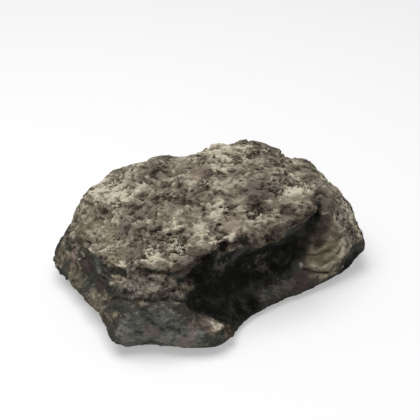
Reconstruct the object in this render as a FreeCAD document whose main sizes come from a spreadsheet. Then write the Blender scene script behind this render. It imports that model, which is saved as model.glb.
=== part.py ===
import FreeCAD, Part
import math
import os
import Sketcher

# A hollow imitation stone for hiding a house key.  Three pieces: the cast stone, a moulded
# compartment glued into its underside, and a flat cover that slides out under the left side.
# +Z is up and the stone rests on z = 0; +X is the long way of the compartment; the origin is
# the middle of the footprint.

SIZES = {
    # the stone over all, before it is weathered
    "rock_length": 98.0,
    "rock_width": 77.5,
    "rock_height": 38.0,
    # the lumps of its weathered face, crest to crest and trough to crest
    "knoll_spacing": 9.4,
    "knoll_height": 2.0,
    # the mouth of the compartment and where its middle lies
    "mouth_length": 69.5,
    "mouth_width": 36.4,
    "mouth_x": -3.3,
    "mouth_y": 1.1,
    "mouth_corner": 2.5,
    # the moulded compartment
    "tray_wall": 1.8,
    "tray_ceiling": 1.5,
    "tray_rim_level": 0.3,
    "tray_top_level": 16.5,
    "tray_draft": 3.0,
    "glue_gap": 0.15,
    # the guide groove along both long walls and the cover that runs in it
    "lip_thickness": 0.8,
    "groove_height": 1.6,
    "groove_depth": 1.0,
    "cover_thickness": 1.3,
    "cover_side_gap": 0.2,
    "cover_end_gap": 0.25,
    "cover_grip_length": 3.4,
    "cover_corner": 2.0,
    # the grip ribs under the outer end of the cover
    "rib_count": 4.0,
    "rib_length": 22.0,
    "rib_width": 0.9,
    "rib_height": 0.5,
    "rib_pitch": 2.2,
    "rib_inset": 2.4,
}

# The stone is a table of offsets.  A row is one station on the outline, going anticlockwise
# from the left of the foot: its place from the middle, in hundredths of length and width, then
# the reach of the sole, then reach and height for the skirt, the low, the high and the brow
# ring.  A reach is a share of the way from the core axis to the outline, a height is in
# hundredths of the stone's height.
CORE = (3.2, -0.2)
SUMMIT = (7.3, 8.9)
STATIONS = [
    ("foot_left", -48.3, -31.7, 0.88, (1.00, 13), (0.98, 32), (0.92, 47), (0.84, 64)),
    ("foot_middle", -37.6, -41.4, 0.87, (0.98, 13), (0.98, 32), (0.91, 46), (0.82, 68)),
    ("foot_right", -24.1, -50.7, 0.89, (0.99, 13), (0.87, 24), (0.66, 42), (0.62, 74)),
    ("notch", -12.7, -45.3, 0.86, (0.95, 9), (0.74, 21), (0.64, 45), (0.70, 74)),
    ("hollow_left", -1.9, -43.3, 0.80, (0.89, 9), (0.74, 24), (0.68, 47), (0.84, 75)),
    ("hollow_middle", 11.4, -42.0, 0.79, (0.89, 9), (0.78, 26), (0.70, 50), (0.87, 76)),
    ("hollow_right", 23.6, -40.7, 0.81, (0.92, 11), (0.86, 29), (0.78, 53), (0.83, 78)),
    ("lobe_near", 36.2, -36.7, 0.86, (0.98, 16), (0.96, 32), (0.86, 53), (0.77, 79)),
    ("lobe_front", 45.8, -29.2, 0.86, (1.00, 18), (0.96, 34), (0.86, 53), (0.68, 80)),
    ("lobe_tip", 49.2, -15.5, 0.87, (1.00, 18), (0.95, 34), (0.87, 54), (0.71, 81)),
    ("end", 49.6, 1.2, 0.88, (1.00, 18), (0.96, 38), (0.88, 60), (0.72, 83)),
    ("end_back", 48.6, 15.4, 0.88, (1.00, 18), (0.96, 40), (0.87, 62), (0.70, 84)),
    ("back_corner", 43.0, 29.5, 0.88, (1.00, 18), (0.95, 39), (0.84, 62), (0.66, 83)),
    ("back_right", 32.8, 39.9, 0.88, (1.00, 18), (0.95, 39), (0.83, 62), (0.63, 82)),
    ("back_dent", 18.5, 43.1, 0.89, (1.00, 18), (0.95, 39), (0.85, 63), (0.69, 83)),
    ("back_middle", 4.2, 45.1, 0.89, (1.00, 18), (0.94, 39), (0.82, 63), (0.60, 82)),
    ("back_bulge", -10.1, 50.2, 0.88, (1.00, 18), (0.93, 37), (0.82, 61), (0.66, 79)),
    ("back_left", -24.4, 47.7, 0.88, (1.00, 16), (0.95, 37), (0.88, 58), (0.77, 79)),
    ("left_corner", -37.1, 42.5, 0.87, (1.00, 16), (0.96, 32), (0.92, 49), (0.82, 71)),
    ("left_back", -46.3, 30.9, 0.88, (1.00, 16), (0.96, 28), (0.92, 42), (0.84, 57)),
    ("left_middle", -47.6, 11.5, 0.89, (1.00, 16), (0.97, 29), (0.93, 45), (0.90, 58)),
    ("left_front", -48.0, -11.7, 0.89, (1.00, 16), (0.97, 29), (0.93, 45), (0.89, 58)),
]
# Between the named rings the surface follows a smooth curve up each station, in this many steps;
# from the brow the top swells to the summit as a parabola, level where it arrives.  A ring is
# closed by a smooth curve through its stations and then set in and out for the weathering, at
# this many places a station.
STEPS_BETWEEN_RINGS = 4
STEPS_TO_SUMMIT = 15
PLACES_PER_STATION = 6
# Ridges and furrows over that shape: the route along each, how far it reaches to either side
# and how high it stands, all in millimetres; a furrow is negative.
RIDGES = {
    "left_brow": ([(-42, -2, 22), (-38, -18, 25), (-28, -26, 26)], 4.0, 1.0),
    "brow": ([(-28, -26, 26), (-13, -25, 28), (4, -29, 29), (20, -26, 30)], 4.0, 1.0),
    "under_nose": ([(-42, -14, 21), (-36, -25, 24), (-27, -27, 23)], 3.5, -1.6),
    "foot_crease": ([(-44, -18, 17), (-37, -29, 19), (-32, -29, 17)], 3.2, -1.4),
    "foot_edge": ([(-32, -30, 16), (-23, -36, 9), (-18, -37, 6)], 3.5, 1.3),
    "foot_shoulder": ([(-44, -22, 15), (-36, -31, 15)], 4.5, 0.7),
    "hollow_floor": ([(-26, -28, 20), (-24, -30, 15), (-19, -32, 11), (-5, -29, 6)], 6.5, -3.0),
    "lobe_valley": ([(28, -20, 31), (22, -25, 27), (15, -26, 14)], 4.5, -2.2),
    "buttress": ([(-4, -26, 25), (-13, -26, 17)], 3.5, 1.2),
    "left_valley": ([(-43, 12, 18), (-45, -12, 12)], 3.5, -1.4),
    "nose_block": ([(-35, -16, 27), (-32, -20, 28)], 6.0, 0.9),
    "saddle": ([(-9, 6, 36), (-5, 13, 37), (0, 20, 36), (4, 27, 32)], 9.0, -2.0),
    "right_dip": ([(26, -7, 34), (31, 0, 34), (35, 6, 32), (39, 13, 28)], 6.5, -2.2),
    "left_shoulder": ([(-31, 25, 25), (-27, 31, 24)], 5.5, 1.6),
    "lobe_shoulder": ([(38, -21, 18), (41, -18, 19), (44, -13, 17)], 5.0, 1.0),
}
# Where the cast is worn smooth, each place with how far that reaches, and the share of the lumps
# that is gone there.
SMOOTH_PLACES = [((-38, -31, 8), 17), ((-8, -27, 12), 13), ((8, -27, 12), 15), ((-42, 17, 18), 9)]
SMOOTHED_AWAY = 0.85
# The lumps are waves that cross from so many sides, their lengths between these shares of the
# knoll spacing.
CROSSING_WAVES = 24
WAVE_LENGTHS = (0.85, 1.75)
GOLDEN_SHARE = (math.sqrt(5) - 1) / 2
# Everything is set out square to an egg: where its middle is and how far it reaches each way.
EGG_MIDDLE = (0, 0, 6)
EGG_REACH = (49, 39, 32)
# Between these heights above the ground the weathering sets in.
WEATHERED_FROM = (1, 6)

doc = FreeCAD.newDocument("hide_a_key_rock")
sheet = doc.addObject("Spreadsheet::Sheet", "sizes")
for row, (alias, value) in enumerate(SIZES.items(), start=1):
    sheet.set("A%d" % row, alias)
    sheet.set("B%d" % row, str(value))
    sheet.setAlias("B%d" % row, alias)
doc.recompute()


def size(alias):
    """A driving dimension, read back from the sheet."""
    return float(sheet.get(alias))


def bind(item, **formulas):
    """Bind properties of a document object to sheet formulas; a__b stands for a.b."""
    for name, formula in formulas.items():
        words = ["sizes." + word if word in SIZES else word for word in formula.split()]
        item.setExpression(name.replace("__", "."), " ".join(words))


# ---------------------------------------------------------------- sketch helpers


def origin_plane(body, role):
    """One of the body's own origin planes, such as XY_Plane."""
    for feature in body.Origin.OriginFeatures:
        if getattr(feature, "Role", "") == role:
            return feature
    raise RuntimeError("no " + role)


def new_sketch(body, name, level, shift="0"):
    """A sketch parallel to the ground, its height and its shift along X given as sheet formulas."""
    sketch = body.newObject("Sketcher::SketchObject", name)
    sketch.AttachmentSupport = (origin_plane(body, "XY_Plane"), [""])
    sketch.MapMode = "FlatFace"
    bind(sketch, AttachmentOffset__Base__z=level, AttachmentOffset__Base__x=shift)
    return sketch


def corner_points(length, width, radius):
    """Start and end of the four straight sides of a rounded rectangle, anticlockwise."""
    x, y = length / 2, width / 2
    return [
        ((-x + radius, -y), (x - radius, -y)),
        ((x, -y + radius), (x, y - radius)),
        ((x - radius, y), (-x + radius, y)),
        ((-x, y - radius), (-x, -y + radius)),
    ]


def rounded_rectangle(sketch, length, width, radius):
    """A constrained rounded rectangle about the sketch's origin, sized by sheet formulas."""
    start_size = (20.0, 12.0, 2.0)
    for start, end in corner_points(*start_size):
        sketch.addGeometry(Part.LineSegment(FreeCAD.Vector(*start, 0), FreeCAD.Vector(*end, 0)), False)
    half_x, half_y, first = start_size[0] / 2 - start_size[2], start_size[1] / 2 - start_size[2], -90
    centres = [(half_x, -half_y), (half_x, half_y), (-half_x, half_y), (-half_x, -half_y)]
    for number, (x, y) in enumerate(centres):
        circle = Part.Circle(FreeCAD.Vector(x, y, 0), FreeCAD.Vector(0, 0, 1), start_size[2])
        turn = math.radians(first + 90 * number)
        sketch.addGeometry(Part.ArcOfCircle(circle, turn, turn + math.pi / 2), False)
    for side in range(4):
        sketch.addConstraint(Sketcher.Constraint("Tangent", side, 2, 4 + side, 1))
        sketch.addConstraint(Sketcher.Constraint("Tangent", 4 + side, 2, (side + 1) % 4, 1))
        direction = "Horizontal" if side % 2 == 0 else "Vertical"
        sketch.addConstraint(Sketcher.Constraint(direction, side))
    for corner in (5, 6, 7):
        sketch.addConstraint(Sketcher.Constraint("Equal", 4, corner))
    sketch.addConstraint(Sketcher.Constraint("Symmetric", 4, 3, 6, 3, -1, 1))
    named = (
        ("corner", Sketcher.Constraint("Radius", 4, start_size[2]), radius),
        ("length", Sketcher.Constraint("DistanceX", 3, 1, 1, 1, start_size[0]), length),
        ("width", Sketcher.Constraint("DistanceY", 0, 1, 2, 1, start_size[1]), width),
    )
    for name, constraint, formula in named:
        sketch.renameConstraint(sketch.addConstraint(constraint), name)
        bind(sketch, **{"Constraints__" + name: formula})
    return sketch


def plain_rectangle(sketch, length, width):
    """A constrained rectangle about the sketch's origin, sized by sheet formulas."""
    corners = [(-10, -4), (10, -4), (10, 4), (-10, 4)]
    for number in range(4):
        start = FreeCAD.Vector(*corners[number], 0)
        end = FreeCAD.Vector(*corners[(number + 1) % 4], 0)
        sketch.addGeometry(Part.LineSegment(start, end), False)
    for side in range(4):
        sketch.addConstraint(Sketcher.Constraint("Coincident", side, 2, (side + 1) % 4, 1))
        direction = "Horizontal" if side % 2 == 0 else "Vertical"
        sketch.addConstraint(Sketcher.Constraint(direction, side))
    sketch.addConstraint(Sketcher.Constraint("Symmetric", 0, 1, 1, 2, -1, 1))
    named = (
        ("length", Sketcher.Constraint("DistanceX", 0, 1, 0, 2, 20), length),
        ("width", Sketcher.Constraint("DistanceY", 1, 1, 1, 2, 8), width),
    )
    for name, constraint, formula in named:
        sketch.renameConstraint(sketch.addConstraint(constraint), name)
        bind(sketch, **{"Constraints__" + name: formula})
    return sketch


def new_feature(body, kind, name, sketch, **formulas):
    """A pad or pocket of the body, made from one sketch."""
    feature = body.newObject("PartDesign::" + kind, name)
    feature.Profile = sketch
    bind(feature, **formulas)
    return feature


# ---------------------------------------------------------------- the cast stone


def place(station):
    """A station's place on the outline, as a vector on the ground."""
    across = FreeCAD.Vector(station[1] * size("rock_length"), station[2] * size("rock_width"), 0)
    return across / 100.0


def dome_point(brow, share):
    """The point that lies a share of the way from a brow point to the summit."""
    summit = FreeCAD.Vector(SUMMIT[0], SUMMIT[1], size("rock_height"))
    point = brow + (summit - brow) * share
    point.z = brow.z + (summit.z - brow.z) * (1 - (1 - share) ** 2)
    return point


def station_profile(station):
    """Points up the stone at one station, from the sole to just short of the summit."""
    core = FreeCAD.Vector(CORE[0], CORE[1], 0)
    named = []
    for reach, height in ((station[3], 0),) + station[4:]:
        point = core + (place(station) - core) * reach
        point.z = height * size("rock_height") / 100.0
        named.append(point)
    ends = [named[0]] + named + [dome_point(named[-1], 1 / STEPS_TO_SUMMIT)]
    profile = []
    for before, start, end, after in zip(ends, ends[1:], ends[2:], ends[3:]):
        for step in range(STEPS_BETWEEN_RINGS):
            share = step / STEPS_BETWEEN_RINGS
            profile.append(between(before, start, end, after, share))
    for step in range(STEPS_TO_SUMMIT):
        profile.append(dome_point(named[-1], step / STEPS_TO_SUMMIT))
    return profile


def between(before, start, end, after, share):
    """A Catmull-Rom point, the given share of the way from start to end."""
    leaving = (end - before) * 0.5
    arriving = (after - start) * 0.5
    bend = start * (2 * share**3 - 3 * share**2 + 1) + end * (3 * share**2 - 2 * share**3)
    return bend + leaving * (share**3 - 2 * share**2 + share) + arriving * (share**3 - share**2)


def closed_curve(points):
    """A smooth closed curve through the points, one unit of its parameter from each to the next."""
    curve = Part.BSplineCurve()
    turns = [float(number) for number in range(len(points) + 1)]
    curve.interpolate(Points=points, Parameters=turns, PeriodicFlag=True)
    return curve


def fade(value, none, full):
    """0 at none, 1 at full and smooth between, whichever of the two is larger."""
    share = min(1.0, max(0.0, (value - none) / (full - none)))
    return share * share * (3 - 2 * share)


def beside(point, route):
    """Distance from a point to a route through hand-set places."""
    reaches = []
    for start, end in zip(route, route[1:]):
        start, run = FreeCAD.Vector(*start), FreeCAD.Vector(*end) - FreeCAD.Vector(*start)
        share = min(1.0, max(0.0, (point - start).dot(run) / run.dot(run)))
        reaches.append(point.distanceToPoint(start + run * share))
    return min(reaches)


def lumps(point):
    """Height of the lumps at a point, about 0, as a share of their height from trough to crest."""
    shortest, longest = WAVE_LENGTHS
    total = 0.0
    for number in range(CROSSING_WAVES):
        turn = -2 * math.pi * number * GOLDEN_SHARE
        rise = 1 - (2 * number + 1) / CROSSING_WAVES
        level = math.sqrt(1 - rise**2)
        way = FreeCAD.Vector(level * math.cos(turn), level * math.sin(turn), rise)
        wave = size("knoll_spacing") * (shortest + (longest - shortest) * (number * GOLDEN_SHARE % 1))
        total += math.sin(2 * math.pi * point.dot(way) / wave + number**2)
    trough_to_crest = 4 * math.sqrt(CROSSING_WAVES / 2)
    return total / trough_to_crest


def weathered(point):
    """A point of the plain shape set out or in by the lumps, the ridges and the furrows."""
    height = size("knoll_height") * lumps(point)
    for place, reach in SMOOTH_PLACES:
        height *= 1 - SMOOTHED_AWAY * fade(point.distanceToPoint(FreeCAD.Vector(*place)), reach, reach / 2)
    for route, reach, ridge_height in RIDGES.values():
        height += ridge_height * fade(beside(point, route), reach, 0)
    height *= fade(point.z, *WEATHERED_FROM)
    out = [(along - middle) / reach**2 for along, middle, reach in zip(point, EGG_MIDDLE, EGG_REACH)]
    return point + FreeCAD.Vector(*out).normalize() * height


def ring_object(name, points):
    """A document object that holds a closed curve: smooth through the points, then weathered."""
    plain = closed_curve(points)
    places = [plain.value(number / PLACES_PER_STATION) for number in range(len(points) * PLACES_PER_STATION)]
    ring = doc.addObject("Part::Feature", name)
    ring.Shape = Part.Wire(closed_curve([weathered(place) for place in places]).toShape())
    return ring


def cast_stone():
    """The stone through all its rings, with the compartment's pocket and the cover's channel."""
    profiles = [station_profile(station) for station in STATIONS]
    rings = [ring_object("ring_%d" % level, list(points)) for level, points in enumerate(zip(*profiles))]
    summit = doc.addObject("Part::Feature", "summit")
    summit.Shape = Part.Vertex(weathered(FreeCAD.Vector(SUMMIT[0], SUMMIT[1], size("rock_height"))))
    stone = doc.addObject("Part::Loft", "stone_loft")
    stone.Sections = rings + [summit]
    stone.Solid = True
    stone.Ruled = True

    pocket = doc.addObject("PartDesign::Body", "pocket")
    bind(pocket, Placement__Base__x="mouth_x", Placement__Base__y="mouth_y")
    pocket_outline = new_sketch(pocket, "pocket_outline", "-1")
    rounded_rectangle(
        pocket_outline,
        "mouth_length + 2 * ( tray_wall + glue_gap )",
        "mouth_width + 2 * ( tray_wall + glue_gap )",
        "mouth_corner + tray_wall + glue_gap",
    )
    new_feature(pocket, "Pad", "pocket_room", pocket_outline, Length="1 + tray_top_level + glue_gap")
    channel = doc.addObject("Part::Box", "channel")
    bind(
        channel,
        Length="rock_length / 2",
        Width="mouth_width + 2 * groove_depth + 4 * cover_side_gap",
        Height="1 + tray_rim_level + lip_thickness + groove_height + glue_gap",
        Placement__Base__x="mouth_x - mouth_length / 2 - rock_length / 2",
        Placement__Base__y="mouth_y - mouth_width / 2 - groove_depth - 2 * cover_side_gap",
        Placement__Base__z="-1",
    )
    recess = doc.addObject("Part::Fuse", "recess")
    recess.Base = pocket
    recess.Tool = channel
    rock = doc.addObject("Part::Cut", "rock_body")
    rock.Base = stone
    rock.Tool = recess
    rock.Label = "rock_body"
    return rock


# ---------------------------------------------------------------- the moulded compartment


def key_tray():
    """An upside-down tray with drafted walls, a guide groove in each long wall and an open end."""
    body = doc.addObject("PartDesign::Body", "key_tray")
    body.Label = "key_tray"
    bind(body, Placement__Base__x="mouth_x", Placement__Base__y="mouth_y")

    outside = new_sketch(body, "tray_outside", "tray_rim_level")
    rounded_rectangle(
        outside,
        "mouth_length + 2 * tray_wall",
        "mouth_width + 2 * tray_wall",
        "mouth_corner + tray_wall",
    )
    new_feature(body, "Pad", "tray_block", outside, Length="tray_top_level - tray_rim_level")

    mouth = new_sketch(body, "tray_mouth", "tray_rim_level")
    rounded_rectangle(mouth, "mouth_length", "mouth_width", "mouth_corner")
    hollow = new_feature(
        body,
        "Pocket",
        "tray_hollow",
        mouth,
        Length="tray_top_level - tray_ceiling - tray_rim_level",
        TaperAngle="0 - tray_draft",
    )
    hollow.Reversed = True

    groove = new_sketch(body, "tray_groove", "tray_rim_level + lip_thickness", "0 - tray_wall / 2")
    plain_rectangle(groove, "mouth_length + 2 * tray_wall", "mouth_width + 2 * groove_depth")
    slot = new_feature(body, "Pocket", "tray_slot", groove, Length="groove_height")
    slot.Reversed = True

    gate = new_sketch(body, "tray_gate", "tray_rim_level", "0 - mouth_length / 2")
    plain_rectangle(gate, "2 * ( tray_wall + mouth_corner )", "mouth_width")
    opening = new_feature(body, "Pocket", "tray_open_end", gate, Length="lip_thickness")
    opening.Reversed = True
    return body


# ---------------------------------------------------------------- the sliding cover


def sliding_cover():
    """A flat plate whose long edges run in the grooves, with grip ribs under its outer end."""
    body = doc.addObject("PartDesign::Body", "sliding_cover")
    body.Label = "sliding_cover"
    inner_reach = "( tray_wall / 2 - cover_end_gap )"
    cover_length = "mouth_length + cover_grip_length + " + inner_reach
    cover_level = "tray_rim_level + lip_thickness + ( groove_height - cover_thickness ) / 2"
    bind(
        body,
        Placement__Base__x="mouth_x + ( " + inner_reach + " - cover_grip_length ) / 2",
        Placement__Base__y="mouth_y",
    )

    outline = new_sketch(body, "cover_outline", cover_level)
    rounded_rectangle(
        outline,
        cover_length,
        "mouth_width + 2 * ( groove_depth - cover_side_gap )",
        "cover_corner",
    )
    new_feature(body, "Pad", "cover_plate", outline, Length="cover_thickness")

    rib = new_sketch(body, "rib_outline", cover_level, "rib_inset - ( " + cover_length + " ) / 2")
    plain_rectangle(rib, "rib_width", "rib_length")
    ribs = new_feature(body, "Pad", "grip_rib", rib, Length="rib_height")
    ribs.Reversed = True
    doc.recompute()
    row_of_ribs = body.newObject("PartDesign::LinearPattern", "grip_ribs")
    row_of_ribs.Originals = [ribs]
    row_of_ribs.Direction = (rib, ["H_Axis"])
    row_of_ribs.Length = size("rib_pitch") * (size("rib_count") - 1)
    row_of_ribs.Occurrences = int(size("rib_count"))
    body.Tip = row_of_ribs
    return body


# ---------------------------------------------------------------- build, check and write

parts = [cast_stone(), key_tray(), sliding_cover()]
doc.recompute()
for item in doc.Objects:
    if "Invalid" in item.State or "Error" in item.State:
        raise RuntimeError(item.Name + " failed: " + str(item.State))
os.makedirs("parts", exist_ok=True)
for part in parts:
    shape = part.Shape
    if shape.isNull() or not shape.isValid() or len(shape.Solids) != 1:
        raise RuntimeError(part.Label + " has no single valid solid")
    shape.exportStep("parts/" + part.Label + ".step")
    box = shape.BoundBox
    print(
        part.Label,
        "volume %.0f mm3" % shape.Volume,
        "x %.2f to %.2f" % (box.XMin, box.XMax),
        "y %.2f to %.2f" % (box.YMin, box.YMax),
        "z %.2f to %.2f" % (box.ZMin, box.ZMax),
    )
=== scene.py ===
import math

import bpy
import numpy
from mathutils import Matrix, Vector, noise


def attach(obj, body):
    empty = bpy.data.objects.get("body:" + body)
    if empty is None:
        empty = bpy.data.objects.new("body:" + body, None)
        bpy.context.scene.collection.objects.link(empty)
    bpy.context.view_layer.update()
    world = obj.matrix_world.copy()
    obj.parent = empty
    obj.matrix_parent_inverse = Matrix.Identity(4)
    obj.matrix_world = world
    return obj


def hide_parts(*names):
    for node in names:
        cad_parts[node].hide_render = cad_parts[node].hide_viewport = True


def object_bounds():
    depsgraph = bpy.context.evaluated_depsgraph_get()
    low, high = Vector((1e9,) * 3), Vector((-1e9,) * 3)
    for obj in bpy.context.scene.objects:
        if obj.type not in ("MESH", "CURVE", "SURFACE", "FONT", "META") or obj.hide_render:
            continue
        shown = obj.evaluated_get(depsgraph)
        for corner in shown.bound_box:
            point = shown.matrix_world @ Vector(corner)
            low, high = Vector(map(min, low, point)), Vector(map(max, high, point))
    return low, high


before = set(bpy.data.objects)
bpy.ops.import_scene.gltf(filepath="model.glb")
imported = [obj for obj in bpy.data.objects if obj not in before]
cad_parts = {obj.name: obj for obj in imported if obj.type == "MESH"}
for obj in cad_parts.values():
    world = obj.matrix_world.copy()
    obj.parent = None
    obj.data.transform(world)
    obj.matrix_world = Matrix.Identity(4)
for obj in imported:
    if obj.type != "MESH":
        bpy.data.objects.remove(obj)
cad_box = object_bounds()
MM = 0.001


# ---------------------------------------------------------------- the table and the lamps
# The part stands on a plain white table in front of a white wall of light.  One broad lamp hangs
# above and a little in front, and the room itself fills the shadows.
table_width = 2.4
table_colour = (0.68, 0.68, 0.68, 1)
white = (1, 1, 1, 1)
table_lift = 0.36
room_level = 0.33
lamp_power = 2.5
lamp_size = 0.46
lamp_place = (-0.11, 0.02, 0.56)
eye = Vector((-174.81, -272.46, 217.56)) * MM
aim = Vector((0.21, 2.27, 21.85)) * MM
lens = 101.6
nearest_seen = 0.01


class Wire:
    """An output of a material's nodes; arithmetic on values adds the Math nodes for it."""

    def __init__(self, tree, socket=None):
        self.tree = tree
        self.socket = socket

    def node(self, kind, settings, sockets, output=0):
        """Adds a node: its settings first, then the values or wires of its sockets."""
        made = self.tree.nodes.new("ShaderNode" + kind)
        for name, value in settings.items():
            setattr(made, name, value)
        for name, value in sockets.items():
            if isinstance(value, Wire):
                self.tree.links.new(value.socket, made.inputs[name])
            else:
                made.inputs[name].default_value = value
        return Wire(self.tree, made.outputs[output]) if made.outputs else None

    def math(self, operation, one, other):
        return self.node("Math", {"operation": operation}, {0: one, 1: other})

    def __add__(self, other):
        return self.math("ADD", self, other)

    def __radd__(self, other):
        return self.math("ADD", other, self)

    def __sub__(self, other):
        return self.math("SUBTRACT", self, other)

    def __rsub__(self, other):
        return self.math("SUBTRACT", other, self)

    def __mul__(self, other):
        return self.math("MULTIPLY", self, other)

    def __rmul__(self, other):
        return self.math("MULTIPLY", other, self)


def new_material(name):
    """An empty material and a wire to start its nodes from."""
    material = bpy.data.materials.new(name)
    material.use_nodes = True
    material.node_tree.nodes.clear()
    return material, Wire(material.node_tree)


def seen_directly(start):
    """1 for rays from the eye, and for those that gloss and clear plastic send on; else 0."""
    names = ("Is Camera Ray", "Is Glossy Ray", "Is Transmission Ray")
    from_eye, from_gloss, through = [start.node("LightPath", {}, {}, name) for name in names]
    return start.math("MAXIMUM", start.math("MAXIMUM", from_eye, from_gloss), through)


bpy.ops.object.select_all(action="DESELECT")
bpy.ops.mesh.primitive_plane_add(size=table_width, location=(0, 0, 0))
table = bpy.context.object
table.name = "table"
table_finish, start = new_material("white_table")
cloth = start.node("BsdfDiffuse", {}, {"Color": table_colour})
glow = seen_directly(start) * table_lift
lift = start.node("Emission", {}, {"Color": white, "Strength": glow})
both = start.node("AddShader", {}, {0: cloth, 1: lift})
start.node("OutputMaterial", {}, {"Surface": both})
table.data.materials.append(table_finish)

world = bpy.data.worlds.new("white_room")
bpy.context.scene.world = world
world.use_nodes = True
world.node_tree.nodes.clear()
start = Wire(world.node_tree)
glow = seen_directly(start) * (1 - room_level) + room_level
light = start.node("Background", {}, {"Color": white, "Strength": glow})
start.node("OutputWorld", {}, {"Surface": light})

bpy.ops.object.light_add(type="AREA", location=lamp_place)
lamp = bpy.context.object
lamp.data.energy = lamp_power
lamp.data.size = lamp_size
lamp.rotation_euler = (-Vector(lamp_place)).to_track_quat("-Z", "Y").to_euler()

bpy.ops.object.camera_add(location=eye)
camera = bpy.context.object
camera.rotation_euler = (aim - eye).to_track_quat("-Z", "Y").to_euler()
camera.data.lens = lens
camera.data.clip_start = nearest_seen
bpy.context.scene.camera = camera
bpy.context.scene.view_settings.view_transform = "Standard"


# ---------------------------------------------------------------- the cast stone
# A hollow imitation rock, cast in filled resin from a mould of a real one.  The upper face is
# crumbled and pitted, the flanks are worn in streaks, the foot and the hollow are smoother.

# The pocket for the compartment and the channel for the cover, and the blocks that fill them
# while the stone is shaped.
pocket_middle = (-3.3, 1.1)
pocket_size = (73.4, 40.3)
pocket_corner = 4.45
pocket_top = 16.65
channel_y = (-18.5, 20.7)
channel_top = 2.85
channel_end = -38.05
fill_spare = 0.4
fill_start, fill_lap = -43.6, 2
cut_start, cut_lap = -60, 3
cut_floor = -2

# The stone's mesh.
merge_reach = 0.002
voxel = 0.30
smoothing_rounds = 14
most_triangles = 188000
smooth_angle = 60

# How its surface is bent, bedded, parted and built up.
bend, bend_wave = 1.3, 6
tear, tear_wave = 0.5, 1.4
bed_angle = 32.5
drawn = (1.45, 1.0, 0.9)
top_slope, top_height = (0.15, 0.5), (15, 20)
foot_blend, lobe_blend = (0.2, -1.6), (-4, 3)
lobe_line, lobe_level, lobe_slant = 11, 5, 0.5
knolls_per_step = 2.2
step_height = 0.9
knob_height = 0.9
ledge_height = 2.0
proud = 0.15
sole_edge = (0.4, 2.4)


def hold(piece):
    """Selects one piece alone and makes it the one that operators act on."""
    bpy.ops.object.select_all(action="DESELECT")
    piece.select_set(True)
    bpy.context.view_layer.objects.active = piece


def apply_modifier(piece, kind, **settings):
    """Adds a modifier with these settings and applies it."""
    hold(piece)
    bpy.ops.object.modifier_add(type=kind)
    modifier = piece.modifiers[-1]
    for name, value in settings.items():
        setattr(modifier, name, value)
    bpy.ops.object.modifier_apply(modifier=modifier.name)


def copy_of(node, name):
    """A loose copy of one of the solids, its doubled points merged."""
    hold(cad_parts[node])
    bpy.ops.object.duplicate()
    piece = bpy.context.object
    piece.name = name
    piece.parent = None
    for key in list(piece.keys()):
        del piece[key]
    piece.data.materials.clear()
    bpy.ops.object.mode_set(mode="EDIT")
    bpy.ops.mesh.select_all(action="SELECT")
    bpy.ops.mesh.remove_doubles(threshold=merge_reach * MM)
    bpy.ops.object.mode_set(mode="OBJECT")
    return piece


def block(low, high):
    """A plain block between two corners given in millimetres."""
    low, high = Vector(low) * MM, Vector(high) * MM
    bpy.ops.object.select_all(action="DESELECT")
    bpy.ops.mesh.primitive_cube_add(size=1, location=(low + high) / 2, scale=high - low)
    bpy.ops.object.transform_apply(location=True, rotation=True, scale=True)
    return bpy.context.object


def join_or_cut(piece, tool, operation):
    """Joins a tool to a piece or cuts it away, and removes the tool."""
    apply_modifier(piece, "BOOLEAN", object=tool, operation=operation, solver="MANIFOLD")
    bpy.data.meshes.remove(tool.data)


def pocket_block(spare, floor):
    """A block the size of the pocket, with this much to spare all round, from the floor up."""
    halves = [size / 2 + spare for size in pocket_size]
    low = [middle - half for middle, half in zip(pocket_middle, halves)]
    high = [middle + half for middle, half in zip(pocket_middle, halves)]
    return block(low + [floor], high + [pocket_top + spare])


def channel_block(start, lap, spare, floor):
    """The same for the channel, from its start on the left to a lap into the pocket."""
    low = (start, channel_y[0] - spare, floor)
    return block(low, (channel_end + lap, channel_y[1] + spare, channel_top + spare))


# The pocket and the channel are filled, so that the stone is sculpted whole, and cut again later.
stone = copy_of("rock_body", "stone")
join_or_cut(stone, pocket_block(spare=fill_spare, floor=0), "UNION")
join_or_cut(stone, channel_block(fill_start, fill_lap, spare=fill_spare, floor=0), "UNION")
apply_modifier(stone, "REMESH", mode="VOXEL", voxel_size=voxel * MM)


def places_of(piece):
    """Where the piece's points are, in millimetres."""
    flat = numpy.empty(len(piece.data.vertices) * 3, dtype=numpy.float32)
    piece.data.vertices.foreach_get("co", flat)
    return flat.reshape(-1, 3).astype(float) / MM


def outward(piece):
    """Which way the piece's surface faces at each point."""
    flat = numpy.empty(len(piece.data.vertices) * 3, dtype=numpy.float32)
    piece.data.vertex_normals.foreach_get("vector", flat)
    return flat.reshape(-1, 3).astype(float)


def move_to(piece, places):
    piece.data.vertices.foreach_set("co", (places * MM).astype(numpy.float32).ravel())
    piece.data.update()


def rise(value, low, high):
    """0 below low, 1 above high and smooth between; falls instead where low is above high."""
    share = numpy.clip((value - low) / (high - low), 0, 1)
    return share * share * (3 - 2 * share)


def grain(places, wave, layers, stretch=(1, 1, 1), shift=0.0):
    """Layered noise about 0, its largest lumps one wave across and drawn out by the stretch."""
    spots = places / (wave * numpy.array(stretch)) + shift
    return numpy.array([noise.fractal(spot, 0.9, 2.1, layers) for spot in spots])


def crumbs(places, wave, layers, shift=0.0):
    """Sharp-ridged noise from 0 up, for crumbled rock."""
    spots = places / wave + shift
    return numpy.array([noise.ridged_multi_fractal(spot, 1.0, 2.1, layers, 1.0, 2.0)
                        for spot in spots])


def voronoi_reach(places, wave):
    """Distance to the middle of the nearest of many uneven cells, 0 in the middle."""
    return numpy.array([noise.voronoi(spot)[0][0] for spot in places / wave])


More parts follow.
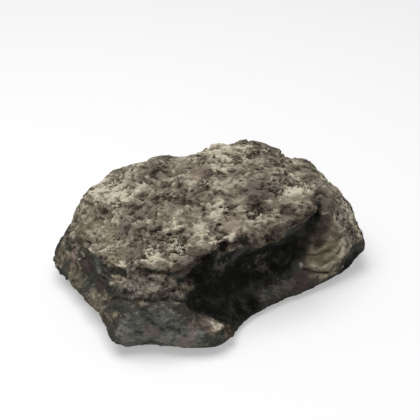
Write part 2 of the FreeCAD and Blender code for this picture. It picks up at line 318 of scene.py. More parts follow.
def pocks(places, wave, share, shift=0.0):
    """1 in the middle of scattered pits of many sizes, 0 outside; this share of cells has one."""
    widest, narrowest = 0.55, 0.1
    spots = places / wave + shift
    depth = numpy.empty(len(spots))
    for number, spot in enumerate(spots):
        reach, middles = noise.voronoi(spot)
        draw = 0.5 + 0.5 * noise.cell(middles[0] * 7.3)
        width = widest * (1 - draw / share)
        depth[number] = max(0.0, 1 - reach[0] / width) if width > narrowest else 0.0
    return depth


def beside(places, route):
    """Distance of each point from a route through listed places."""
    nearest = numpy.full(len(places), numpy.inf)
    for start, end in zip(route, route[1:]):
        start, run = numpy.array(start, dtype=float), numpy.array(end, dtype=float) - start
        along = numpy.clip((places - start) @ run / (run @ run), 0, 1)
        off = places - start - along[:, None] * run
        nearest = numpy.minimum(nearest, numpy.linalg.norm(off, axis=1))
    return nearest


def spread(piece, value, rounds):
    """The value evened out over the surface, as if rubbed with a cloth so many times."""
    ends = numpy.empty(len(piece.data.edges) * 2, dtype=numpy.int32)
    piece.data.edges.foreach_get("vertices", ends)
    one, other = ends.reshape(-1, 2).T
    count = len(value)
    shares = numpy.bincount(one, minlength=count) + numpy.bincount(other, minlength=count)
    for _ in range(rounds):
        total = numpy.bincount(one, value[other], count)
        total = total + numpy.bincount(other, value[one], count)
        value = 0.5 * value + 0.5 * total / shares
    return value


def stroke(places, route, reach, core=0.0):
    """1 along a route over the stone and within the core of it, falling to 0 at the reach."""
    return rise(beside(places, route), reach, core)


def dabs(places, spots):
    """The same for separate round dabs, each a middle and a reach."""
    value = numpy.zeros(len(places))
    for middle, reach in spots:
        off = numpy.linalg.norm(places - middle, axis=1)
        value = numpy.maximum(value, rise(off, reach, reach / 4))
    return value


def remember(piece, name, value):
    """Keeps a number for each point of the piece, for its paint to read."""
    kept = piece.data.attributes.new(name, "FLOAT", "POINT")
    kept.data.foreach_set("value", value.astype(numpy.float32))


# Routes along the ridges, furrows and creases of the stone.
brow = [(-43, 14, 20), (-42.5, 2, 21.5), (-41, -9, 22.5), (-38, -18, 25), (-34, -24, 26),
        (-28, -26, 26.5), (-21, -25.5, 28), (-13, -25, 28), (-5, -26.5, 28), (4, -29, 29),
        (14, -28, 29.5), (20, -26, 30), (26, -22, 30), (31, -19, 28)]
under_nose = [(-43, -13, 20.5), (-40, -19, 22.5), (-36, -25, 24), (-31, -28, 23.5),
              (-27, -27.5, 23)]
nose_line = [(-39.5, -15, 24.3), (-37.3, -21, 25.6), (-33.2, -25, 25.5), (-31, -26.2, 24)]
foot_crease = [(-44.5, -15, 14.5), (-42.6, -18.5, 15.8), (-43, -23.5, 18.3), (-41, -26.5, 19.5),
               (-37.7, -27.7, 18.4), (-32.3, -28.5, 17.6), (-28, -29.2, 15.5),
               (-26.8, -33, 12.4)]
curl = [(31.6, -26.4, 15.5), (31.6, -28, 10.8), (28.2, -28.6, 9), (23.4, -28.2, 9.6),
        (19.3, -27.2, 10), (16.1, -25.7, 11)]
curl_groove = [(16.9, -24.5, 13.9), (20.5, -26.4, 13.5), (27.4, -27.4, 12.9)]
lobe_groove = [(16.5, -26.5, 9.8), (19.5, -27.8, 8), (25, -28.5, 6.5)]
foot_edge = [(-33, -30, 17), (-29.5, -31, 15.5), (-26, -34, 12), (-23, -36.5, 9), (-18, -37.5, 7)]
foot_shoulder = [(-45, -22, 15), (-41, -29, 15.5), (-35, -31.5, 14.5), (-30.5, -32, 12.5)]
foot_arc = [(-43, -24, 17.5), (-42, -27, 17), (-40, -28.5, 16), (-39.5, -30, 13)]
hollow_floor = [(-26, -28.5, 20), (-24, -30, 15.5), (-19, -32, 11), (-14, -31, 7), (-5, -29, 6)]
hollow_back = [(-21, -27, 20), (-10, -25, 15), (2, -26, 15), (14, -26, 15)]
lobe_valley = [(28, -20, 31), (24, -23, 29), (20, -26, 25), (18, -25, 19), (15, -26, 14)]
buttress = [(-4, -26, 25), (-8, -24, 21), (-13, -26, 17)]
left_valley = [(-43, 12, 18), (-43.5, 3, 17), (-44.5, -5, 14), (-45.5, -12, 12)]
# The rim's painted highlight and two streaks of painted sheen in the hollow follow the next three
# routes.
highlit_rim = [(-21, -24.5, 28.5), (-16, -24, 29), (-9, -24, 29)]
high_sheen = [(-4, -25, 24.5), (-7, -24, 21.5), (-12, -25, 20.5), (-16, -26, 21.5)]
low_sheen = [(3, -23.5, 16), (6, -24.5, 11), (10, -27.5, 6.5)]
brow_face = [(-27, -27.5, 25), (-20, -26.5, 26), (-13, -25, 27), (-7, -24.5, 27),
             (-1, -27, 28.2), (6, -29.5, 29), (14, -28.5, 29.5), (19, -26, 29.5)]
# How far each ridge or furrow reaches to either side and how high it stands, and the same for how
# dark the painted shade in a crease is.
cut_and_built = [(brow, 2.4, 0.4), (under_nose, 2.2, 0.5), (nose_line, 1.4, -0.7),
                 (foot_crease, 1.2, -0.4), (curl, 1.8, 0.35), (curl_groove, 1.2, -0.25),
                 (lobe_groove, 1.4, -0.3), (foot_edge, 1.8, 0.5), (foot_shoulder, 3.0, 0.2),
                 (foot_arc, 1.0, -0.5), (buttress, 2.0, 0.3), (left_valley, 2.0, -0.3),
                 (highlit_rim, 1.5, 0.5)]
darkened = [(nose_line, 1.4, 1.0), (foot_crease, 1.2, 0.9), (foot_arc, 1.0, 0.75),
            (curl_groove, 1.0, 0.7), (lobe_groove, 1.3, 0.8)]
foot_top = (-33, -30, 17)
foot_side = (-0.634, -0.567, -0.526)

# Where the stone is worn, speckled, crumbled or layered, and where it stands proud or has settled:
# the middle of a dab and how far it reaches.
smooth_dabs = [((-38, -31, 8), 15), ((-30, -36, 5), 8), ((-46, 15, 9), 8), ((-46, 5, 7), 7),
               ((-46, -6, 6), 6)]
worn_dabs = [((24, -27, 13), 12), ((32, -27, 13), 7), ((27, -25, 20), 7)]
speckled_dabs = [((-40, -22, 20), 7), ((-34, -27, 20), 6), ((-36.5, -24, 23.5), 5),
                 ((-40.5, -17.5, 22), 5), ((35, -23, 21), 5.5), ((36, -25.5, 15.5), 5)]
crumbled_dabs = [((39, -20, 20), 8), ((42, -22, 14), 6), ((35, -24.5, 18), 6.5),
                 ((-40, -7, 23.5), 8), ((-37, -15, 26), 5)]
strata_dabs = [((24, -28, 12), 9), ((31, -28, 12), 7)]
curl_middle = (23, -25, 20)
knob = [((-18, -36, 5.5), 3.2), ((29, 1, 32.5), 5)]
ledge = [((-1, -28, 27.6), 5.5), ((3.5, -29, 27.8), 5)]
settled = [((-38, 26, 22), 11.5), ((33, -4, 32), 13), ((46, -22, 11), 8)]

# Where each colour of the paint lies thickest, in dabs too.
cream_dabs = [((-25, 13, 31), 8), ((-28, 20, 29), 8), ((8, 8, 38), 8), ((10, 16, 37), 10),
              ((-23, -12, 32), 5), ((-8, -15, 33), 5), ((24, -15, 33), 7), ((19, -18, 33), 5),
              ((-26, 24, 29), 9), ((-16, -20, 31), 4), ((-27, -20, 29), 5), ((-33, -19, 28), 5),
              ((14, 5, 38), 7), ((2, 0, 37), 5), ((-14, -24, 29), 4), ((-40, -12, 24), 4),
              ((32, -27, 13), 6), ((37, -22, 20), 8), ((41, -24, 15), 5), ((-22, -35.5, 9), 4),
              ((33, -24, 20), 5)]
olive_dabs = [((-19, -37, 5), 5), ((-46, -18, 10), 5), ((-38, 12, 23), 11), ((-36, 1, 25), 6),
              ((-39, -8, 23), 6), ((-45, 21, 11), 8), ((-46, 8, 9), 9), ((-48, -8, 7), 12),
              ((24, -28, 12), 10), ((36, -24, 17), 8), ((41, -22, 16), 9), ((9, 9, 38), 13)]
mauve_dabs = [((-25, -26.5, 25), 6), ((-20, -26.5, 26), 4), ((-33, -1, 27), 6),
              ((29, -22, 25), 7), ((14, -29, 7), 8), ((8, -14, 35), 9), ((-36, -22, 22), 6),
              ((-34, -13, 27.5), 5), ((-43.5, 3, 17), 6), ((-44, -5, 14), 5)]
rose_dabs = [((-45, 13, 13), 6), ((-29, -34.5, 11), 4), ((-32, -28, 21), 6),
             ((-24, -35.5, 10), 6.5), ((-40, -29.5, 10), 5), ((-31, -34, 6), 5),
             ((-6, -20, 31), 6), ((-4, 2, 36), 7)]
slate_dabs = [((-40, -30, 8), 16), ((-30, -36, 5), 8), ((-42.5, -4, 20), 3.5)]
# Umber lies partly as painted shade on the face under the brow, black as painted shade in the
# hollow and the valleys, partly black paint, and the grey patches are painted sheen in the hollow.
umber_dabs = [((-22, -26, 27.5), 5), ((-18, -26.5, 26.5), 5), ((-29, -26.5, 25.5), 3),
              ((-13, -26, 27.5), 5), ((-7, -26, 27.5), 4), ((-18, -36, 6), 4),
              ((12, -24, 31), 5), ((4, -18, 33), 5), ((24, -24.5, 22), 5.5), ((23, -26, 17), 4)]
black_dabs = [((36, -27, 5.5), 7), ((-18, -27, 25.5), 5), ((-12, -26, 26), 4),
              ((23, -24.5, 27), 4), ((-22, -27, 22), 5)]
sheen_patch_dabs = [((6, -28, 6), 5), ((10, -28, 7), 5), ((1, -27, 6), 4)]


def shaken(places, wave, turns):
    """Noise for each of the three directions, to shake places by."""
    return numpy.stack([grain(places, wave=wave, layers=2, shift=turn) for turn in turns], axis=1)


# The voxels' steps are rubbed away.  Routes and dabs are measured from bent places, so that none
# is straight or round, and the rock's lumps are drawn out along beds that lie aslant.
apply_modifier(stone, "SMOOTH", factor=0.5, iterations=smoothing_rounds)
places = places_of(stone)
facing = outward(stone)
bent = places + bend * shaken(places, bend_wave, turns=(1.5, 4.5, 7.5))
ragged = bent + tear * shaken(places, tear_wave, turns=(2.5, 5.5, 9.5))
bed = math.radians(bed_angle)
cosine, sine = math.cos(bed), math.sin(bed)
laid = bent @ numpy.array([(cosine, -sine, 0), (sine, cosine, 0), (0, 0, 1)]).T

# Which part of the stone each point is on: the top down to the brow, the face under the brow, or
# the hollow, which ends at the side of the foot and at a slanting line before the lobe.
above_brow = rise(facing[:, 2], *top_slope) * rise(places[:, 2], *top_height)
under_brow = numpy.maximum(stroke(bent, brow_face, reach=4.2, core=2.2), dabs(bent, ledge))
hollow = numpy.maximum(stroke(places, hollow_back, reach=15),
                       stroke(places, hollow_floor, reach=9))
hollow *= 1 - above_brow
hollow *= rise((places - foot_top) @ numpy.array(foot_side), *foot_blend)
lobe_side = lobe_line + lobe_slant * (bent[:, 2] - lobe_level)
hollow *= rise(lobe_side - bent[:, 0], *lobe_blend)
hollow *= 1 - under_brow
worn = dabs(bent, worn_dabs)
speckled = dabs(bent, speckled_dabs)
crumbled = dabs(bent, crumbled_dabs)
crumbly = numpy.maximum(numpy.maximum(above_brow, 0.9 * under_brow), 0.6 * (1 - hollow))
rubbed = (1 - 0.75 * dabs(bent, smooth_dabs)) * (1 - 0.6 * worn)
rubbed *= 1 - 0.65 * speckled * (1 - above_brow)
crumbly = numpy.maximum(crumbly * rubbed, 0.9 * crumbled)

# The layers of roughness, each at its own size.  Shelves are the knolls cut into steps.
knolls = grain(laid, wave=7, layers=3, stretch=drawn, shift=2.2)
levels = knolls_per_step * knolls / step_height
treads = numpy.floor(levels)
shelves = step_height * (treads + rise(levels - treads, 0.3, 0.7))
clods = 0.5 - voronoi_reach(laid / drawn, wave=2.3)
crumb = 0.5 - voronoi_reach(laid / drawn, wave=1.2)
small = grain(laid, wave=1.6, layers=3, stretch=drawn, shift=3.1)
flakes = crumbs(laid / drawn, wave=3.0, layers=3, shift=5.7) - 1.1
clusters = rise(grain(places, wave=6, layers=3, shift=8.8), 0.0, 0.35)
clusters = numpy.maximum(clusters, 0.8 * crumbled)
pits = numpy.maximum(pocks(ragged, wave=1.2, share=1.2),
                     pocks(ragged, wave=2.0, share=1.0, shift=2.7))
pits *= rise(clusters, 0, 0.6)
pits = numpy.maximum(pits, pocks(ragged, wave=1.7, share=0.5, shift=7.1))
dents = pocks(ragged, wave=2.6, share=0.45, shift=5.2)
gouges = rise(grain(laid, wave=3.2, layers=4, stretch=(1.8, 1.0, 1.0), shift=6.4), -0.3, -0.62)
streaks = grain(laid, wave=2.1, layers=3, stretch=(1.0, 3.0, 1.0), shift=1.3)
from_curl = numpy.linalg.norm(bent - curl_middle, axis=1)
strata = numpy.sin(from_curl * 2.2 + 3 * knolls) * dabs(bent, strata_dabs)

# Their heights in millimetres.  What would stand prouder than the skin is pressed down, the sole
# stays flat, and nothing leaves the solid's box.
form = numpy.zeros(len(places))
for route, reach, height in cut_and_built:
    form += height * stroke(bent, route, reach)
form += knob_height * dabs(bent, knob) + ledge_height * dabs(bent, ledge) - dabs(bent, settled)
rough = sum(height * layer for height, layer in (
    (0.3, knolls), (0.7, shelves), (0.5, clods), (0.3, crumb), (0.7, small), (0.45, flakes)))
rough = numpy.minimum(rough, proud + 0.3 * (rough - proud)) - 0.9 * pits - 0.6 * gouges
smooth = 0.4 * knolls + 0.35 * streaks + 0.2 * small - 0.4 * dents
relief = crumbly * rough + ((1 - crumbly) * smooth + 0.15 * strata)
raised = (form + relief) * rise(places[:, 2], *sole_edge)
low, high = (numpy.array(corner) / MM for corner in cad_box)
places = numpy.clip(places + facing * raised[:, None], low, high)
move_to(stone, places)

# What the paint reads: the shape of the roughness and where each colour lies.  The back is
# dusted like the top, more so higher up, and the creases stay close to their routes.
flank = rise(bent[:, 1], -12, 4) * rise(bent[:, 0], -42, -33)
flank *= 0.3 + 0.4 * rise(bent[:, 2], 2, 22)
# Painted shade: the hollow, the valley before the lobe and the crease under the nose are darkened
# where shade falls.
dark = numpy.maximum(hollow, 0.8 * stroke(bent, lobe_valley, reach=6))
dark = numpy.maximum(dark, 0.4 * stroke(bent, under_nose, reach=2.6))
steady = 0.35 * bent + 0.65 * places
creases = numpy.zeros(len(places))
for route, reach, depth in darkened:
    creases = numpy.maximum(creases, depth * stroke(steady, route, reach))
# A painted highlight along the rim and the curl, and painted sheen along two streaks in the
# hollow.
rim, rolled = stroke(bent, highlit_rim, reach=1.8), stroke(bent, curl, reach=2.0)
high_sheen_band, low_sheen_band = stroke(bent, high_sheen, reach=3.0), stroke(bent, low_sheen, reach=4.0)
told = {
    "cavity": spread(stone, raised, rounds=1) - spread(stone, raised, rounds=26),
    "pits": numpy.maximum(pits, 0.4 * gouges) * crumbly,
    "crumbled": clusters * crumbly,
    "worn": worn,
    "strata": strata,
    "painted_highlight": numpy.maximum(rim, 0.75 * rolled),
    "umber": numpy.maximum(dabs(bent, umber_dabs), 0.8 * stroke(bent, brow_face, reach=3.5)),
    "above_brow": numpy.maximum(numpy.maximum(above_brow, 0.55 * under_brow), flank),
    "crease": creases,
    "black": numpy.maximum(dark, dabs(bent, black_dabs)),
    "sheen": numpy.maximum(high_sheen_band, 0.7 * low_sheen_band),
    # Along the rim the cream widens the painted highlight.
    "cream": numpy.maximum(dabs(bent, cream_dabs), stroke(bent, highlit_rim, reach=2.2)),
    "olive": dabs(bent, olive_dabs),
    "mauve": dabs(bent, mauve_dabs),
    "rose": dabs(bent, rose_dabs),
    "slate": dabs(bent, slate_dabs),
    "speckled": speckled,
    "grey": dabs(bent, sheen_patch_dabs),
}
for name, value in told.items():
    remember(stone, name, value)

# The stone is thinned out, and the compartment's pocket and the cover's channel are cut.
apply_modifier(stone, "DECIMATE", ratio=most_triangles / (2 * len(stone.data.polygons)))
move_to(stone, numpy.clip(places_of(stone), low, high))


def round_uprights(piece, radius):
    """Rounds the upright edges of a block; the radius is in millimetres."""
    steps, least_height = 10, 1 * MM
    hold(piece)
    bpy.ops.object.mode_set(mode="EDIT")
    bpy.ops.mesh.select_all(action="DESELECT")
    bpy.ops.object.mode_set(mode="OBJECT")
    for edge in piece.data.edges:
        one, other = (piece.data.vertices[point].co for point in edge.vertices)
        edge.select = abs(one.z - other.z) > least_height
    bpy.ops.object.mode_set(mode="EDIT")
    bpy.ops.mesh.select_mode(type="EDGE")
    bpy.ops.mesh.bevel(offset=radius * MM, segments=steps, affect="EDGES")
    bpy.ops.object.mode_set(mode="OBJECT")


def smooth_faces(piece, angle):
    """Shades a piece smooth but for the edges that turn by more than the angle, in degrees."""
    hold(piece)
    bpy.ops.object.shade_smooth_by_angle(angle=math.radians(angle))


room = pocket_block(spare=0, floor=cut_floor)
round_uprights(room, pocket_corner)
join_or_cut(stone, room, "DIFFERENCE")
join_or_cut(stone, channel_block(cut_start, cut_lap, spare=0, floor=cut_floor), "DIFFERENCE")
smooth_faces(stone, smooth_angle)


def noise_at(place, wave, detail=2.0, rough=0.55, shift=0.0):
    """Cloudy noise about 0, its lumps one wave across in millimetres."""
    spot = place.node("VectorMath", {"operation": "ADD"}, {0: place, 1: (shift, shift, shift)})
    sockets = {"Vector": spot, "Scale": 1 / wave, "Detail": detail, "Roughness": rough}
    return place.node("TexNoise", {}, sockets) - 0.5


def step(value, low, high):
    """0 below low, 1 above high and smooth between."""
    sockets = {"Value": value, "From Min": low, "From Max": high}
    return value.node("MapRange", {"interpolation_type": "SMOOTHSTEP"}, sockets)


def coat(amount, under, over):
    """One colour laid over another where the amount is 1."""
    return amount.node("Mix", {"data_type": "RGBA"}, {0: amount, 6: under, 7: over}, 2)


def brush(under, over, mask, edge, strength=1.0):
    """A coat over another where the mask is past the edge, which is given as a low and a high."""
    return coat(step(mask, *edge) * strength, under, over)


def card(red, green, blue):
    """A colour given as on a paint card, 0 to 255, for the sockets of a node."""
    return tuple(((level / 255 + 0.055) / 1.055) ** 2.4 for level in (red, green, blue)) + (1,)


def in_millimetres(start):
    """Where each point of a piece is, in millimetres."""
    place = start.node("TexCoord", {}, {}, "Object")
    return start.node("VectorMath", {"operation": "SCALE"}, {0: place, "Scale": 1 / MM})


def finish_piece(piece, material, start, sockets):
    """Ends a material with its shader and gives it to the piece, in place of any other."""
    shader = start.node("BsdfPrincipled", {}, sockets)
    start.node("OutputMaterial", {}, {"Surface": shader})
    piece.data.materials.clear()
    piece.data.materials.append(material)


# The colours of the paint, in the order in which they are brushed on.
slate, umber = card(72, 73, 67), card(62, 56, 49)
dark_slate, mid_slate, pale_slate = card(52, 55, 51), card(104, 105, 98), card(150, 148, 138)
worn_ground, mauve_ground, rose_ground = card(104, 93, 80), card(88, 75, 73), card(138, 120, 112)
dark_tan, mid_tan, pale_tan = card(70, 60, 53), card(127, 118, 104), card(187, 178, 158)
mauve_tan, olive_tan = card(116, 105, 97), card(134, 128, 104)
worn_brown, worn_cream = card(84, 72, 62), card(160, 149, 128)
dark_layer, pale_layer = card(70, 60, 48), card(158, 147, 124)
mauve, rose, olive = card(106, 96, 90), card(150, 134, 120), card(132, 126, 100)
bone = card(214, 206, 184)
dark_grit, pale_grit = card(58, 52, 48), card(156, 148, 136)
# Some of these stand in for light: the dark brown partly for shade under the brow, a painted
# highlight on the rim, painted shade in the creases, the hollow and the pits, and painted sheen in
# the hollow.
dark_dirt_and_shade, pale_dirt_and_shade = card(40, 31, 27), card(92, 78, 70)
painted_highlight, crease_shade = card(208, 198, 180), card(30, 27, 24)
black, thin_black = card(12, 12, 10), card(50, 51, 46)
sheen, grey = card(92, 87, 84), card(122, 117, 110)
dark_sole, pale_sole = card(70, 73, 74), card(116, 118, 117)
wash_brown, pit_shade_brown, speck_brown = card(62, 53, 46), card(30, 24, 20), card(38, 31, 27)

# The noises that break up the edges of the coats, coarse to fine.
stone_paint, start = new_material("stone_paint")
place = in_millimetres(start)
turned = {"Vector": place, "Rotation": (0, 0, -bed), "Scale": drawn}
lie = start.node("Mapping", {"vector_type": "TEXTURE"}, turned)
kept = {name: start.node("Attribute", {"attribute_name": name}, {}, "Fac") for name in told}
broad = noise_at(lie, wave=8.0, detail=3.0)
patchy = noise_at(lie, wave=4.0, detail=3.0, rough=0.6, shift=23.0)
middling = noise_at(lie, wave=1.9, detail=3.0, rough=0.6, shift=11.0)
fine = noise_at(lie, wave=0.8, detail=2.0, rough=0.6, shift=5.0)
finest = noise_at(place, wave=0.4, detail=1.0, rough=0.5, shift=31.0)
torn = broad * 0.8 + patchy * 0.8 + middling * 0.7
mottle = broad * 0.7 + patchy * 1.2 + middling * 1.4 + fine * 1.0

# The ground coat of slate and umber, which shows on the flanks and deep between the lumps.
ground = brush(slate, umber, patchy + middling * 0.5, edge=(-0.15, 0.15))
worn_slate = brush(dark_slate, mid_slate, mottle, edge=(-0.4, 0.0))
worn_slate = brush(worn_slate, pale_slate, mottle, edge=(0.0, 0.4))
ground = brush(ground, worn_slate, kept["slate"] + torn, edge=(0.3, 0.7), strength=0.9)
ground = brush(ground, worn_ground, kept["worn"] + torn, edge=(0.1, 0.7), strength=0.9)
ground = brush(ground, mauve_ground, kept["mauve"] + torn, edge=(0.4, 0.9), strength=0.7)
ground = brush(ground, rose_ground, kept["rose"] + torn, edge=(0.3, 1.1), strength=0.55)

# The tan coat, which goes from brown over tan to bone and is tinted in patches.
tone = broad * 1.3 + patchy * 1.7 + middling * 1.5 + fine * 0.7
tone = tone + kept["cavity"] * 0.5 + kept["cream"] * 0.35
tan = brush(dark_tan, mid_tan, tone, edge=(-0.45, 0.0))
tan = brush(tan, pale_tan, tone, edge=(0.0, 0.45))
tan = brush(tan, mauve_tan, patchy - broad * 0.7, edge=(0.05, 0.25), strength=0.35)
tan = brush(tan, olive_tan, middling - patchy * 0.6 + fine * 0.4, edge=(0.08, 0.25), strength=0.35)
swirl = broad * 1.2 + patchy * 0.8 + middling * 1.2 + kept["strata"] * 0.2
worn_tan = brush(worn_brown, worn_cream, swirl, edge=(-0.35, 0.35))
tan = brush(tan, worn_tan, kept["worn"] + torn, edge=(0.3, 1.1), strength=0.8)
layers = kept["strata"] + patchy * 1.5
tan = brush(tan, dark_layer, layers + fine * 0.6, edge=(-0.4, -1.0), strength=0.6)
tan = brush(tan, pale_layer, layers - fine * 0.6, edge=(0.5, 1.0), strength=0.5)
tan = brush(tan, mauve, kept["mauve"] + torn, edge=(0.4, 1.0), strength=0.7)
tan = brush(tan, rose, kept["rose"] + torn, edge=(0.4, 1.0), strength=0.6)
tan = brush(tan, olive, kept["olive"] + torn, edge=(0.4, 1.0), strength=0.5)
crests = kept["cavity"] * 0.7 + middling * 0.9 + patchy * 1.5 + broad * 0.6 + fine * 0.6
tan = brush(tan, bone, crests + kept["cream"] * 0.5, edge=(0.2, 0.85))

# The tan coat is dry-brushed over the ground, most on the top, least where it is slate or mauve.
brushed = kept["cavity"] * 0.7 + middling * 1.2 + fine * 0.5
brushed = brushed + kept["above_brow"] * 1.0 + kept["olive"] * 0.45
brushed = brushed + kept["rose"] * 0.3 + kept["cream"] * 0.3 + kept["worn"] * 0.5
brushed = brushed - kept["slate"] * 0.35 - kept["mauve"] * 0.15
coats = brush(ground, tan, brushed, edge=(0.1, 0.75))

# Grit, a dark brown that is partly paint and partly painted shade under the brow, and a painted
# highlight along the rim lie over both; the creases and the hollow get painted shade, the hollow
# partly black paint too, with painted sheen over it.
gritty = fine * 1.2 + finest * 0.6 + middling * 0.8 + patchy * 0.8
grit = brush(dark_grit, pale_grit, gritty, edge=(-0.2, 0.3))
coats = brush(coats, grit, kept["speckled"] + torn, edge=(0.2, 0.7), strength=0.8)
# Dark brown, partly paint and partly painted shade on the face under the brow.
dirt_and_shade = brush(dark_dirt_and_shade, pale_dirt_and_shade, mottle + finest, edge=(-0.1, 0.5))
coats = brush(coats, dirt_and_shade, kept["umber"] + mottle * 1.2, edge=(0.3, 0.8), strength=0.85)
# Painted highlight along the rim and the curl.
coats = brush(coats, painted_highlight, kept["painted_highlight"] + middling, edge=(0.4, 0.8), strength=0.8)
# Painted shade in the creases.
in_crease = kept["crease"] + middling * 0.8 + patchy * 0.6
coats = brush(coats, crease_shade, in_crease, edge=(0.25, 0.85), strength=0.85)
# Painted shade in the hollow, mixed with black paint and mottled lighter.
thin = broad + patchy * 1.5 + middling * 0.8 + finest * 0.3
hollow_shade = brush(black, thin_black, thin, edge=(-0.05, 0.5))
coats = brush(coats, hollow_shade, kept["black"] + torn, edge=(0.2, 0.8))
# Painted sheen: lighter streaks in the hollow, where a gloss would catch the light.
coats = brush(coats, sheen, kept["sheen"] + mottle * 1.2, edge=(0.4, 1.0), strength=0.8)
# Lighter grey patches of painted sheen low in the hollow.
coats = brush(coats, grey, kept["grey"] + mottle * 1.6, edge=(0.5, 1.3), strength=0.65)

# The sole is left a bare bluish grey, and a brown wash has settled between the lumps; the pits all
# over are painted a darker brown, partly as painted shade.
level = start.node("SeparateXYZ", {}, {0: place}, 2)
bare_sole = brush(dark_sole, pale_sole, mottle, edge=(-0.5, 0.5))
coats = brush(coats, bare_sole, level - mottle * 0.8, edge=(2.2, 0.6), strength=0.9)
wash = fine * 0.7 + middling * 1.0 + patchy * 0.5 - kept["cavity"] * 0.8
coats = brush(coats, wash_brown, wash, edge=(0.15, 0.75), strength=0.6)
in_pit = kept["pits"] * 1.2 - kept["cavity"] * 0.3 + fine * 0.6
coats = brush(coats, pit_shade_brown, in_pit, edge=(0.45, 1.05))
specks = finest * 0.8 + fine * 1.0 + kept["crumbled"] * 0.35 - kept["cavity"] * 0.2
coats = brush(coats, speck_brown, specks, edge=(0.25, 0.45), strength=0.85)
fine_lumps = middling * 0.3 + fine * 0.25
bump = start.node("Bump", {}, {"Height": fine_lumps, "Strength": 0.7, "Distance": MM})
dullness = 0.85 - kept["black"] * 0.2
finish_piece(stone, stone_paint, start, {
    "Base Color": coats, "Roughness": dullness, "Normal": bump, "Specular IOR Level": 0.06})
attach(stone, "rock")
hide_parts("rock_body")


# ---------------------------------------------------------------- the key compartment
# A shallow tray of black polystyrene, vacuum-smooth inside, moulded with drafted walls and a
# guide groove along both long walls.  It is glued upside down into the pocket under the stone,
# and the mould's ejector pins have left four round marks in its ceiling.
tray_edge = 0.22
flat_angle, sharp_angle = 1, 35
round_steps = 3
plastic_angle = 30
pin_mark_sides = 40
pin_mark_radius = 2.1
pin_mark_depth = 0.15
pin_mark_x = (-27, 20)
pin_mark_y = (-11, 13)
tray_ceiling = 15.0


def fitted_copy(node, name, edge):
    """A copy of a solid, its sharp edges broken by a small round, given in millimetres."""
    piece = copy_of(node, name)
    bpy.ops.object.mode_set(mode="EDIT")
    bpy.ops.mesh.select_all(action="SELECT")
    bpy.ops.mesh.dissolve_limited(angle_limit=math.radians(flat_angle))
    bpy.ops.object.mode_set(mode="OBJECT")
    apply_modifier(piece, "BEVEL", width=edge * MM, segments=round_steps, limit_method="ANGLE",
                   angle_limit=math.radians(sharp_angle), harden_normals=False)
    return piece


tray = fitted_copy("key_tray", "compartment", tray_edge)
for x in pin_mark_x:
    for y in pin_mark_y:
        bpy.ops.mesh.primitive_cylinder_add(
            vertices=pin_mark_sides, radius=pin_mark_radius * MM, depth=2 * pin_mark_depth * MM,
            location=Vector((x, y, tray_ceiling)) * MM)
        bpy.ops.object.transform_apply(location=True)
        join_or_cut(tray, bpy.context.object, "DIFFERENCE")
smooth_faces(tray, plastic_angle)

black_plastic, glossy_black = card(26, 27, 28), card(36, 37, 38)
scuffed_black, pale_dust = card(66, 67, 67), card(128, 121, 108)
tray_plastic, start = new_material("black_polystyrene")
place = in_millimetres(start)
level = start.node("SeparateXYZ", {}, {0: place}, 2)
cloudy = noise_at(place, wave=9.0, detail=3.0)
drawn_down = start.node("Mapping", {}, {"Vector": place, "Scale": (1, 1, 0.08)})
scuffs = noise_at(drawn_down, wave=1.1, detail=3.0, rough=0.6, shift=4.0)
dust = noise_at(place, wave=0.5, detail=2.0, rough=0.7, shift=17.0)
near_mouth = step(level, 5.0, 0.8)
dusty = step(dust + cloudy * 0.5 + near_mouth * 0.12, 0.16, 0.3) * 0.35
plastic = brush(black_plastic, glossy_black, cloudy, edge=(-0.2, 0.2))
plastic = brush(plastic, scuffed_black, scuffs + near_mouth * 0.15, edge=(0.14, 0.3), strength=0.4)
plastic = coat(dusty, plastic, pale_dust)
dullness = 0.36 + scuffs * 0.25 + dusty * 0.5 + near_mouth * 0.12
scratched = scuffs * 0.4 + dust * 0.15
bump = start.node("Bump", {}, {"Height": scratched, "Strength": 0.25, "Distance": 0.1 * MM})
finish_piece(tray, tray_plastic, start, {
    "Base Color": plastic, "Roughness": dullness, "Normal": bump})
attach(tray, "rock")
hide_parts("key_tray")


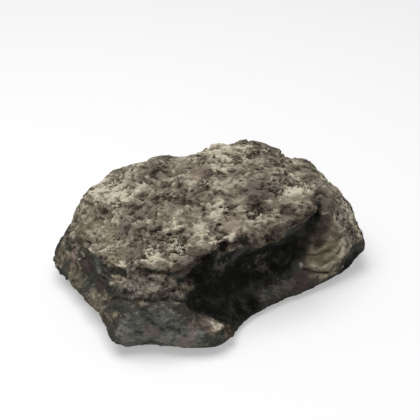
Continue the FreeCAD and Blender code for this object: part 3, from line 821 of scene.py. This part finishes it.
# ---------------------------------------------------------------- the sliding cover
# A flat plate of charcoal polypropylene with a fine leathery grain on its underside.  Its long
# edges run in the grooves of the compartment, and four ribs give the fingertip a hold.
cover_edge = 0.25
leather_cell = 0.55

cover = fitted_copy("sliding_cover", "cover", cover_edge)
smooth_faces(cover, plastic_angle)

charcoal, pale_charcoal = card(44, 45, 46), card(58, 59, 59)
scratched_grey, rubbed_grey, cover_dust = card(92, 92, 90), card(104, 102, 97), card(120, 112, 98)
cover_plastic, start = new_material("charcoal_polypropylene")
place = in_millimetres(start)
ahead = start.node("SeparateXYZ", {}, {0: place}, 0)
level = start.node("SeparateXYZ", {}, {0: place}, 2)
cloudy = noise_at(place, wave=11.0, detail=3.0, rough=0.55, shift=3.0)
drawn_along = start.node("Mapping", {}, {"Vector": place, "Scale": (0.04, 1, 1)})
scratches = noise_at(drawn_along, wave=0.5, detail=3.0, rough=0.65, shift=8.0)
cells = {"Vector": place, "Scale": 1 / leather_cell}
leather = start.node("TexVoronoi", {"feature": "DISTANCE_TO_EDGE"}, cells, "Distance")
speck = noise_at(place, wave=0.4, detail=2.0, rough=0.7, shift=21.0)
handled = step(ahead, -30.0, -40.0)
on_rib = step(level, 1.0, 0.8)
plastic = brush(charcoal, pale_charcoal, cloudy, edge=(-0.2, 0.2))
scratched = scratches + handled * 0.08
plastic = brush(plastic, scratched_grey, scratched, edge=(0.12, 0.26), strength=0.45)
plastic = brush(plastic, rubbed_grey, on_rib + speck, edge=(0.5, 1.2), strength=0.4)
plastic = brush(plastic, cover_dust, speck + cloudy * 0.4, edge=(0.17, 0.27), strength=0.4)
dullness = 0.62 - handled * 0.15 + scratches * 0.2
leathery = step(leather, 0.0, 0.22) * 0.5 + scratches * 0.3
bump = start.node("Bump", {}, {"Height": leathery, "Strength": 0.4, "Distance": 0.08 * MM})
finish_piece(cover, cover_plastic, start, {
    "Base Color": plastic, "Roughness": dullness, "Normal": bump})
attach(cover, "cover")
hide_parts("sliding_cover")
